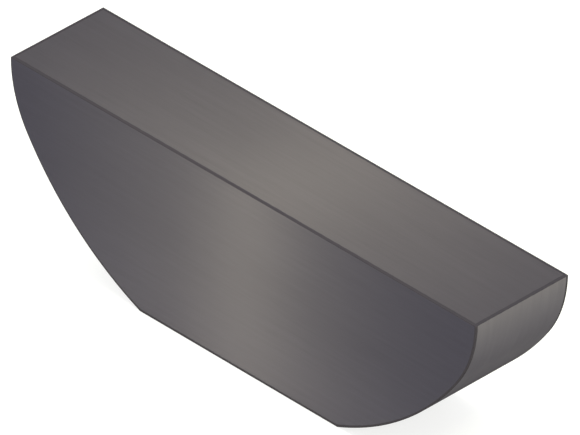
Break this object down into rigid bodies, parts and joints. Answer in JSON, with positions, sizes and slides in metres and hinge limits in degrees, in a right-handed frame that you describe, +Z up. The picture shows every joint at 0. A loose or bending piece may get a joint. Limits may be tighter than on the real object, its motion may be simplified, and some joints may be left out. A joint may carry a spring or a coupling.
{
  "type": "woodruff key",
  "caption": "Flat-bottomed woodruff key: a steel bar with parallel flanks, a flat top, a round seat blended into upright ends, and a milled bottom flat.",
  "frame": {"origin": "middle of the bottom flat, on which the key stands", "axes": "+X along the key from end to end, +Y across its width from flank to flank, +Z up from the bottom flat to the top face"},
  "size_m": [0.0504, 0.01, 0.0166],
  "materials": {
    "steel": "dark grey steel, ground flanks and top with the lay along the key, milled round seat"
  },
  "bodies": {
    "root": {"woodruff_key": "steel"}
  },
  "joints": []
}
